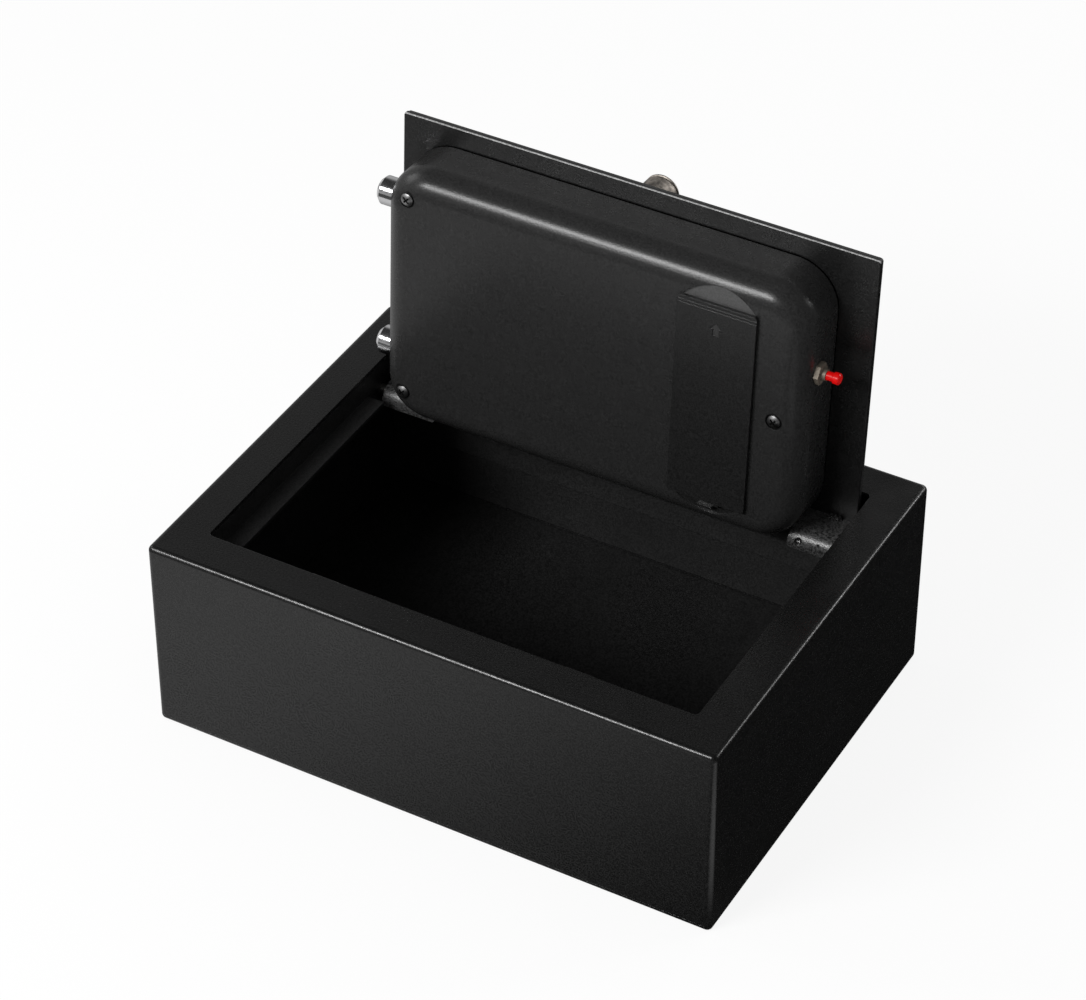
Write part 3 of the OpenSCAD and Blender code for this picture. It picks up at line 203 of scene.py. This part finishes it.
def moulded_plastic(name, level, roughness, grain=0.0008, relief=0.00003, contrast=0.7, specular=0.5,
                    shade_seam=None):
    """Moulded plastic with a spark-eroded grain. A shade seam is a plane, as its normal and reach, that the
    piece meets with a dark line of painted shade that also has no gloss."""
    s = Shader(name, (level, level, level), roughness, specular=specular)
    s.soft_edges(0.0003)
    fine = s.ramp(s.noise(grain, 1, 0.6), 1 - contrast, 1 + contrast, 0.38, 0.62)
    # Painted shade: the strip along the seam plane is darkened and loses its gloss
    if shade_seam:
        dot = s.node("ShaderNodeVectorMath", operation="DOT_PRODUCT")
        dot.inputs[1].default_value = shade_seam[0]
        s.link(s.place, dot.inputs[0])
        lit = s.ramp(dot.outputs["Value"], 1, 0, shade_seam[1] - SEAM_SHADE_WIDTH, shade_seam[1] - SEAM_SHADE_WIDTH * 0.7)
        s.link(s.ramp(lit, 0.0, specular), s.principled.inputs["Specular IOR Level"])
        fine = s.mixed(fine, lit, "MULTIPLY")
    s.grey(fine, level)
    s.roughness(s.noise(0.004, 3), roughness - 0.01, roughness + 0.01)
    s.bump(s.noise(grain * 0.8, 1, 0.6), relief)
    return s.material


def chrome(name):
    s = Shader(name, (0.80, 0.80, 0.81), 0.06, metallic=1.0)
    s.roughness(s.noise(0.003, 4), 0.12, 0.20)
    s.bump(s.noise(0.006, 2), 0.0000004)
    return s.material


def turned_metal(name, color, roughness, along, pitch=0.00022, relief=0.000003, dirt=0.0, metallic=1.0):
    """Turned metal: fine rings about an axis given as a unit vector, with cloudy plating."""
    s = Shader(name, color, roughness, metallic=metallic)
    rings = s.stretched([1 + 40 * abs(axis) for axis in along])
    s.roughness(s.noise(0.004, 4, 0.6), roughness - 0.08, roughness + 0.10)
    dark = [c * (0.82 - dirt) for c in color]
    light = [min(1, c * 1.1) for c in color]
    s.color(s.noise(0.003, 4, 0.6), dark, light, 0.35, 0.65)
    s.bump(s.noise(pitch * 40, 2, 0.7, rings), relief)
    return s.material


def plated_sheet(name, color, roughness):
    """Zinc-plated sheet: faint spangle and rolling lines."""
    s = Shader(name, color, roughness, metallic=1.0)
    s.color(s.cells(0.003), [c * 0.85 for c in color], color, 0.1, 0.6)
    s.roughness(s.noise(0.006, 4, 0.6), roughness - 0.06, roughness + 0.10)
    s.bump(s.noise(0.004, 3, 0.6, s.stretched((1, 12, 12))), 0.000004)
    return s.material


def gloss_plastic(name, color, roughness=0.18, specular=0.5):
    s = Shader(name, color, roughness, specular=specular)
    s.color(s.noise(0.01, 3), [c * 0.9 for c in color], [min(1, c * 1.08) for c in color], 0.35, 0.65)
    s.roughness(s.noise(0.003, 3), roughness - 0.04, roughness + 0.06)
    s.bump(s.noise(0.002, 2), 0.000003)
    return s.material


def rubber(name, level):
    s = Shader(name, (level, level, level), 0.7, specular=0.3)
    s.color(s.noise(0.006, 4), (level * 0.8,) * 3, (level * 1.2,) * 3, 0.3, 0.7)
    s.bump(s.noise(0.0005, 3), 0.00003)
    return s.material


def circuit_green(name):
    """Solder mask with traces under it, made from stretched cells."""
    s = Shader(name, (0.02, 0.13, 0.06), 0.3)
    traces = s.cells(0.0035, 0.4)
    s.color(traces, (0.03, 0.20, 0.09), (0.015, 0.11, 0.05), 0.45, 0.55)
    s.bump(traces, 0.00002)
    return s.material


IN_LID = LID.to_3x3() @ Vector((0, 1, 0))
OUT_OF_LID = LID.to_3x3() @ Vector((0, 0, 1))
LID_UNDERSIDE = 0.100
# Painted shade where the housing meets the lid's underside: its width, and that plane as normal and reach
SEAM_SHADE_WIDTH = 0.0012
HOUSING_SEAM_SHADE = (OUT_OF_LID, OUT_OF_LID.dot(LID @ Vector((0, 0, LID_UNDERSIDE))))
MATERIALS = {
    "case_coat": powder_coat("case_coat", 0.0055, 0.27, relief=0.00005, contrast=0.6),
    # Inside the case: lighter copies of the case's coat, painted light for the light the inside lacks (the
    # floor's copy also less glossy)
    "inner_coat": powder_coat("inner_coat", 0.016, 0.34, contrast=0.5),
    "inner_floor_painted_light": powder_coat("inner_floor_painted_light", 0.0085, 0.42, specular=0.2, edge=0.0001, contrast=0.5),
    "inner_wall_painted_light": powder_coat("inner_wall_painted_light", 0.013, 0.34, edge=0.0001, contrast=0.5),
    # The brackets: a lighter copy of the coat, painted light
    "bracket_painted_light": powder_coat("bracket_painted_light", 0.036, 0.32, relief=0.0001),
    # The lower front corners of the plate and the panel: light copies of the lid's coat, as painted
    # highlights
    "plate_painted_highlight": powder_coat("plate_painted_highlight", 0.26, 0.32, relief=0.00002, contrast=0.3, edge=0.0002),
    "panel_painted_highlight": powder_coat("panel_painted_highlight", 0.06, 0.32, relief=0.00002, contrast=0.3, edge=0.0002),
    "lid_coat": powder_coat("lid_coat", 0.0085, 0.32, specks=2, contrast=0.5, edge=0.0004),
    "rubber": rubber("rubber", 0.02),
    "pin_steel": turned_metal("pin_steel", (0.56, 0.55, 0.52), 0.28, (1, 0, 0)),
    "dark_screw": turned_metal("dark_screw", (0.34, 0.34, 0.34), 0.34, OUT_OF_LID),
    "housing_plastic": moulded_plastic("housing_plastic", 0.0205, 0.275, grain=0.0007, relief=0.00004,
                                       contrast=0.28, specular=0.34, shade_seam=HOUSING_SEAM_SHADE),
    "cover_plastic": moulded_plastic("cover_plastic", 0.013, 0.33, grain=0.0007, relief=0.00002,
                                     contrast=0.4),
    "zinc_steel": plated_sheet("zinc_steel", (0.62, 0.62, 0.60), 0.32),
    "cell_jacket": gloss_plastic("cell_jacket", (0.05, 0.06, 0.09), 0.25),
    "contact_metal": plated_sheet("contact_metal", (0.72, 0.71, 0.66), 0.25),
    "board": circuit_green("board"),
    "coil_tape": gloss_plastic("coil_tape", (0.45, 0.18, 0.04), 0.3),
    "brass": turned_metal("brass", (0.72, 0.56, 0.30), 0.25, IN_LID),
    "nickel": turned_metal("nickel", (0.21, 0.18, 0.145), 0.55, (1, 0, 0), metallic=0.5),
    "keypad_gloss": gloss_plastic("keypad_gloss", (0.008, 0.008, 0.009), 0.12),
    "light_lens": gloss_plastic("light_lens", (0.30, 0.42, 0.26), 0.15),
    "bolt_chrome": chrome("bolt_chrome"),
    "knob_metal": turned_metal("knob_metal", (0.42, 0.38, 0.34), 0.52, OUT_OF_LID, dirt=0.45),
    "red_plastic": gloss_plastic("red_plastic", (0.66, 0.004, 0.004), 0.28, specular=0.18),
    "key_plastic": moulded_plastic("key_plastic", 0.42, 0.45, relief=0.00001, contrast=0.06),
    # The front scoop's floor: lighter than the housing, painted light that its tilted floor catches
    "scoop_floor_painted_light": moulded_plastic("scoop_floor_painted_light", 0.072, 0.42, relief=0.00001, contrast=0.15),
    "arrow_plastic": moulded_plastic("arrow_plastic", 0.032, 0.45, relief=0.00001, contrast=0.2),
    "shade": rubber("shade", 0.002),
    # The weld beads: lighter than the coat, a painted highlight on their lumps
    "weld": powder_coat("weld", 0.022, 0.22, relief=0.0001),
    "ink": rubber("ink", 0.012),
}


def paint_cad():
    slots = {part["node"]: part["material_slot"] for part in frame["record"]["subparts"]}
    for name, obj in NODES.items():
        obj.data.materials.clear()
        obj.data.materials.append(MATERIALS[slots[name]])


# Where faces of a node have a finish of their own, or painted light or shade, in mm with the lid closed.
# LEVEL,
# STEEP and FRONT_SHARE are shares of a face's normal: over the first a face is a floor, under the second a
# wall, and over the third it looks to the front
LEVEL = 0.98
STEEP = 0.3
HOUSING_FACE = 68
SKIN = 0.05
SCOOP_HEIGHTS = (68.6, 70.2)
SCOOP_SIDES = (41, 79.5)
FRONT_SCOOP_END = -57.3
REAR_SCOOP_START = 49.8
ARROW_HEIGHTS = (66.3, 66.6)
ARROW_ENDS = (-50, -41)
# Middles of the housing's three screws, x and y
SCREW_SPOTS = ((-101.2, -58.8), (-102.6, 48.4), (90.5, -4.65))
RECESS_REACH = 4.3
RECESS_DEPTH = 1
SLOT_REACH = 1.95
SLOT_DEPTH = 0.4
PLATE_CORNER_TOP = 100.55
PANEL_CORNER_TOP = 103.05
FRONT_SHARE = 0.2
INSIDE_X = 144.2
INSIDE_Y = 106.2
UNDER_FLANGE = 102
BASE_RIM = 0.8


def between(value, limits):
    return limits[0] < value < limits[1]


def scoop_floor(place, normal):
    return abs(normal.z) > LEVEL and between(place.z, SCOOP_HEIGHTS) and between(place.x, SCOOP_SIDES)


def front_scoop_floor(place, normal):
    return scoop_floor(place, normal) and place.y < FRONT_SCOOP_END


def rear_scoop_floor(place, normal):
    return scoop_floor(place, normal) and place.y > REAR_SCOOP_START


def arrow_floor(place, normal):
    return abs(normal.z) > LEVEL and between(place.z, ARROW_HEIGHTS) and between(place.y, ARROW_ENDS)


def near_screw(place, reach):
    return any((place.xy - Vector(spot)).length < reach for spot in SCREW_SPOTS)


def screw_recess(place, normal):
    in_recess = between(place.z, (HOUSING_FACE + SKIN, HOUSING_FACE + RECESS_DEPTH))
    return in_recess and near_screw(place, RECESS_REACH)


def cross_slot(place, normal):
    in_slot = abs(normal.z) < STEEP or place.z > HOUSING_FACE + SKIN
    return in_slot and place.z < HOUSING_FACE + SLOT_DEPTH and near_screw(place, SLOT_REACH)


def any_face(place, normal):
    return True


def plate_highlight_corner(place, normal):
    """The lower corner of the plate's front edge, painted light as a highlight."""
    return normal.y < -FRONT_SHARE and place.z < PLATE_CORNER_TOP


def panel_highlight_corner(place, normal):
    """The same corner of the panel, over the dark line between the two, painted light as a highlight."""
    return normal.y < -FRONT_SHARE and place.z < PANEL_CORNER_TOP


def inside_walls(place):
    return abs(place.x) < INSIDE_X and abs(place.y) < INSIDE_Y


def inside_case(place, normal):
    return inside_walls(place) and place.z < UNDER_FLANGE


def inside_base(place, normal):
    return inside_walls(place) and place.z > BASE_RIM


def second_finish_or_painted_light(name, material, test, to_closed=LID.inverted()):
    """Gives a node's faces that pass a test another finish, or painted light or shade. The test gets a face's
    place and normal, moved to where they are with the lid closed, in mm."""
    mesh = NODES[name].data
    mesh.materials.append(MATERIALS[material])
    for face in mesh.polygons:
        if test(to_closed @ face.center / MM, to_closed.to_3x3() @ face.normal):
            face.material_index = len(mesh.materials) - 1


def add_finishes_and_painted_light():
    # Painted light on the front scoop's floor, and painted shade on the rear scoop's floor, which takes the
    # cover's darker plastic
    second_finish_or_painted_light("lock_housing", "scoop_floor_painted_light", front_scoop_floor)
    second_finish_or_painted_light("lock_housing", "cover_plastic", rear_scoop_floor)
    second_finish_or_painted_light("battery_cover", "arrow_plastic", arrow_floor)
    second_finish_or_painted_light("lock_housing", "shade", screw_recess)
    second_finish_or_painted_light("housing_screws", "shade", cross_slot)
    # Painted highlights along the lower front corners of the plate and the panel
    second_finish_or_painted_light("lid_plate", "plate_painted_highlight", plate_highlight_corner)
    second_finish_or_painted_light("lid_panel", "panel_painted_highlight", panel_highlight_corner)
    # Painted light: the brackets take a lighter copy of the coat
    second_finish_or_painted_light("left_hinge_bracket", "bracket_painted_light", any_face)
    second_finish_or_painted_light("right_hinge_bracket", "bracket_painted_light", any_face)
    # Painted light on the case's inner walls and floor: lighter copies of the coat
    second_finish_or_painted_light("case_shell", "inner_wall_painted_light", inside_case, Matrix())
    second_finish_or_painted_light("base_plate", "inner_floor_painted_light", inside_base, Matrix())


# Small pieces on the lid, in mm with the lid closed
DIGIT_SIZE = 6.6
DIGIT_RAISED = 0.06
DIGIT_SUNK = 0.2
STROKE_RADIUS = 0.34
STROKE_SUNK = 0.4
# Strokes of the two signs on the keypad, about the key's middle
CROSS_SIGN = (((-1.6, -1.6), (1.6, 1.6)), ((-1.6, 1.6), (1.6, -1.6)))
TICK_SIGN = (((-1.9, 0.1), (-0.6, -1.5), (1.9, 1.7)),)
# The right bracket's weld: the ends of its middle line, its radius, and how finely it is cut up
WELD_INNER = Vector((107.5, 60.3, 99))
WELD_OUTER = Vector((115.5, 60.3, 98.6))
WELD_RADIUS = 2.6
WELD_RINGS = 26
WELD_SIDES = 14


def on_lid(name, mesh, body="lid"):
    piece = link(bpy.data.objects.new(name, mesh))
    mesh.transform(LID @ Matrix.Scale(MM, 4))
    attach(piece, body)
    return piece


def weld_swell(i):
    """A ring's share of the bead's radius: the ends are round, and the middle swells and shrinks."""
    from_middle = 2 * i / (WELD_RINGS - 1) - 1
    return math.sqrt(max(0.02, 1 - from_middle ** 6)) * (0.78 + 0.22 * math.cos(i * 0.95))


def weld_ring(middle, side, other, i):
    """Points of one ring, a little lumpy."""
    for j in range(WELD_SIDES):
        turn = 2 * math.pi * j / WELD_SIDES
        lump = 1 + 0.09 * math.sin(3 * j + i * 1.3)
        yield middle + WELD_RADIUS * weld_swell(i) * lump * (math.cos(turn) * side + math.sin(turn) * other)


def weld_bead(name, start, end):
    along = (end - start).normalized()
    side = along.orthogonal().normalized()
    other = along.cross(side)
    bm = bmesh.new()
    loops = []
    for i in range(WELD_RINGS):
        middle = start.lerp(end, i / (WELD_RINGS - 1))
        loops.append([bm.verts.new(point) for point in weld_ring(middle, side, other, i)])
    for a, b in zip(loops, loops[1:]):
        for j in range(WELD_SIDES):
            k = (j + 1) % WELD_SIDES
            bm.faces.new((a[j], a[k], b[k], b[j])).smooth = True
    bm.faces.new(reversed(loops[0]))
    bm.faces.new(loops[-1])
    bmesh.ops.recalc_face_normals(bm, faces=bm.faces)
    mesh = bpy.data.meshes.new(name)
    bm.to_mesh(mesh)
    bm.free()
    mesh.materials.append(MATERIALS["weld"])
    on_lid(name, mesh)


def add_welds():
    mirror = Matrix.Scale(-1, 4, (1, 0, 0))
    weld_bead("right_bracket_weld", WELD_INNER, WELD_OUTER)
    weld_bead("left_bracket_weld", mirror @ WELD_OUTER, mirror @ WELD_INNER)


def key_ink(name, curve, sunk):
    """Turns a curve drawn about the origin into ink on a key, sunk below the key's highest point."""
    drawn = bpy.data.objects.new(name, curve)
    mesh = bpy.data.meshes.new_from_object(drawn)
    bpy.data.objects.remove(drawn)
    corners = [LID.inverted() @ vertex.co / MM for vertex in NODES["key_" + name].data.vertices]
    middle = [(min(c[i] for c in corners) + max(c[i] for c in corners)) / 2 for i in range(2)]
    mesh.transform(Matrix.Translation((*middle, max(c.z for c in corners) - sunk)))
    mesh.materials.clear()
    mesh.materials.append(MATERIALS["ink"])
    on_lid("ink_" + name, mesh, f"key_{name}_body")


def digit_ink(name):
    curve = bpy.data.curves.new(name, "FONT")
    curve.body = name
    curve.size = DIGIT_SIZE
    curve.align_x = "CENTER"
    curve.align_y = "CENTER"
    curve.extrude = DIGIT_RAISED
    key_ink(name, curve, DIGIT_SUNK)


def stroke_ink(name, lines):
    """Ink of round strokes along lines, each a list of points."""
    curve = bpy.data.curves.new(name, "CURVE")
    curve.dimensions = "3D"
    curve.bevel_depth = STROKE_RADIUS
    curve.use_fill_caps = True
    for line in lines:
        spline = curve.splines.new("POLY")
        spline.points.add(len(line) - 1)
        for point, (x, y) in zip(spline.points, line):
            point.co = (x, y, 0, 1)
    key_ink(name, curve, STROKE_SUNK)


def add_ink():
    for digit in "0123456789":
        digit_ink(digit)
    stroke_ink("clear", CROSS_SIGN)
    stroke_ink("enter", TICK_SIGN)


# Floor, world, lamps and camera
def link(obj):
    bpy.context.scene.collection.objects.link(obj)
    return obj


def larger(tree, first, second):
    made = tree.nodes.new("ShaderNodeMath")
    made.operation = "MAXIMUM"
    tree.links.new(first, made.inputs[0])
    tree.links.new(second, made.inputs[1])
    return made.outputs[0]


def slope(tree, vector, direction, start, end, low, high, measure="DOT_PRODUCT"):
    """Runs from low to high while the vector's reach along a direction goes from start to end."""
    dot = tree.nodes.new("ShaderNodeVectorMath")
    dot.operation = measure
    dot.inputs[1].default_value = direction
    tree.links.new(vector, dot.inputs[0])
    ramp = tree.nodes.new("ShaderNodeMapRange")
    ramp.interpolation_type = "SMOOTHSTEP"
    for socket, value in (("From Min", start), ("From Max", end), ("To Min", low), ("To Max", high)):
        ramp.inputs[socket].default_value = value
    tree.links.new(dot.outputs["Value"], ramp.inputs["Value"])
    return ramp.outputs["Result"]


def product(tree, first, second):
    """Product of two outputs, or of an output and a number."""
    made = tree.nodes.new("ShaderNodeMath")
    made.operation = "MULTIPLY"
    tree.links.new(first, made.inputs[0])
    if isinstance(second, (int, float)):
        made.inputs[1].default_value = second
    else:
        tree.links.new(second, made.inputs[1])
    return made.outputs[0]


def seen_white(tree, gloss):
    """1 for camera and transmission rays, and the given level for glossy rays."""
    path = tree.nodes.new("ShaderNodeLightPath").outputs
    direct = larger(tree, path["Is Camera Ray"], path["Is Transmission Ray"])
    return larger(tree, direct, product(tree, path["Is Glossy Ray"], gloss))


def make_floor():
    """Pale floor that shows white and keeps a soft shadow. What gloss sees of it falls off to the right."""
    mesh = bpy.data.meshes.new("floor")
    corners = [(x * FLOOR_HALF, y * FLOOR_HALF, 0) for x, y in ((-1, -1), (1, -1), (1, 1), (-1, 1))]
    mesh.from_pydata(corners, [], [(0, 1, 2, 3)])
    floor = link(bpy.data.objects.new("floor", mesh))
    material = bpy.data.materials.new("floor")
    material.use_nodes = True
    tree = material.node_tree
    tree.nodes.clear()
    output = tree.nodes.new("ShaderNodeOutputMaterial")
    mix = tree.nodes.new("ShaderNodeMixShader")
    plain = tree.nodes.new("ShaderNodeBsdfDiffuse")
    plain.inputs["Color"].default_value = (*FLOOR_COLOR, 1)
    white = tree.nodes.new("ShaderNodeEmission")
    place = tree.nodes.new("ShaderNodeTexCoord").outputs["Object"]
    gloss = product(tree, slope(tree, place, *FLOOR_GLOSS), slope(tree, place, *FLOOR_FADE))
    gloss = larger(tree, gloss, slope(tree, place, *FLOOR_REAR))
    gloss = larger(tree, gloss, slope(tree, place, *FLOOR_GLINT, measure="DISTANCE"))
    tree.links.new(seen_white(tree, gloss), white.inputs["Strength"])
    path = tree.nodes.new("ShaderNodeLightPath").outputs
    seen = product(tree, larger(tree, path["Is Camera Ray"], path["Is Transmission Ray"]), 1 - SHADOW_SHARE)
    tree.links.new(larger(tree, seen, path["Is Glossy Ray"]), mix.inputs[0])
    tree.links.new(plain.outputs[0], mix.inputs[1])
    tree.links.new(white.outputs[0], mix.inputs[2])
    tree.links.new(mix.outputs[0], output.inputs[0])
    floor.data.materials.append(material)


def make_world():
    """White for the eye, a dim studio for gloss that is lighter to the left, and a little fill."""
    world = bpy.data.worlds.new("studio")
    bpy.context.scene.world = world
    world.use_nodes = True
    tree = world.node_tree
    background = tree.nodes["Background"]
    background.inputs["Color"].default_value = (1, 1, 1, 1)
    direction = tree.nodes.new("ShaderNodeTexCoord").outputs["Generated"]
    fill = product(tree, tree.nodes.new("ShaderNodeLightPath").outputs["Is Diffuse Ray"], WORLD_FILL)
    strength = larger(tree, seen_white(tree, slope(tree, direction, *WORLD_GLOSS)), fill)
    tree.links.new(strength, background.inputs["Strength"])


def soft_box(name, azimuth, elevation, distance, width, height, power):
    """Area lamp that looks at the safe from a direction: azimuth 0 is the front, positive to the right."""
    az, el = math.radians(azimuth), math.radians(elevation)
    place = Vector((math.sin(az) * math.cos(el), -math.cos(az) * math.cos(el), math.sin(el))) * distance
    lamp = bpy.data.lights.new(name, "AREA")
    lamp.shape = "RECTANGLE"
    lamp.size = width
    lamp.size_y = height
    lamp.energy = power
    obj = link(bpy.data.objects.new(name, lamp))
    obj.location = place + LAMP_TARGET
    obj.rotation_euler = (-place).to_track_quat("-Z", "Y").to_euler()


def make_camera():
    data = bpy.data.cameras.new("camera")
    data.sensor_fit = "HORIZONTAL"
    data.sensor_width = SENSOR_WIDTH
    data.lens = FOCAL_PIXELS * SENSOR_WIDTH / PHOTO_WIDTH
    data.clip_start = 0.05
    data.clip_end = 50
    camera = link(bpy.data.objects.new("camera", data))
    az, el = math.radians(CAMERA_AZIMUTH), math.radians(CAMERA_ELEVATION)
    ahead = Vector((-math.sin(az) * math.cos(el), math.cos(az) * math.cos(el), -math.sin(el)))
    turn = ahead.to_track_quat("-Z", "Y").to_matrix().to_4x4()
    roll = Matrix.Rotation(math.radians(CAMERA_ROLL), 4, "Z")
    camera.matrix_world = Matrix.Translation(CAMERA_PLACE) @ turn @ roll
    bpy.context.scene.camera = camera


paint_cad()
add_finishes_and_painted_light()
add_ink()
add_welds()
make_floor()
make_world()
for lamp in LAMPS:
    soft_box(*lamp)
make_camera()
bpy.context.scene.view_settings.view_transform = "Standard"
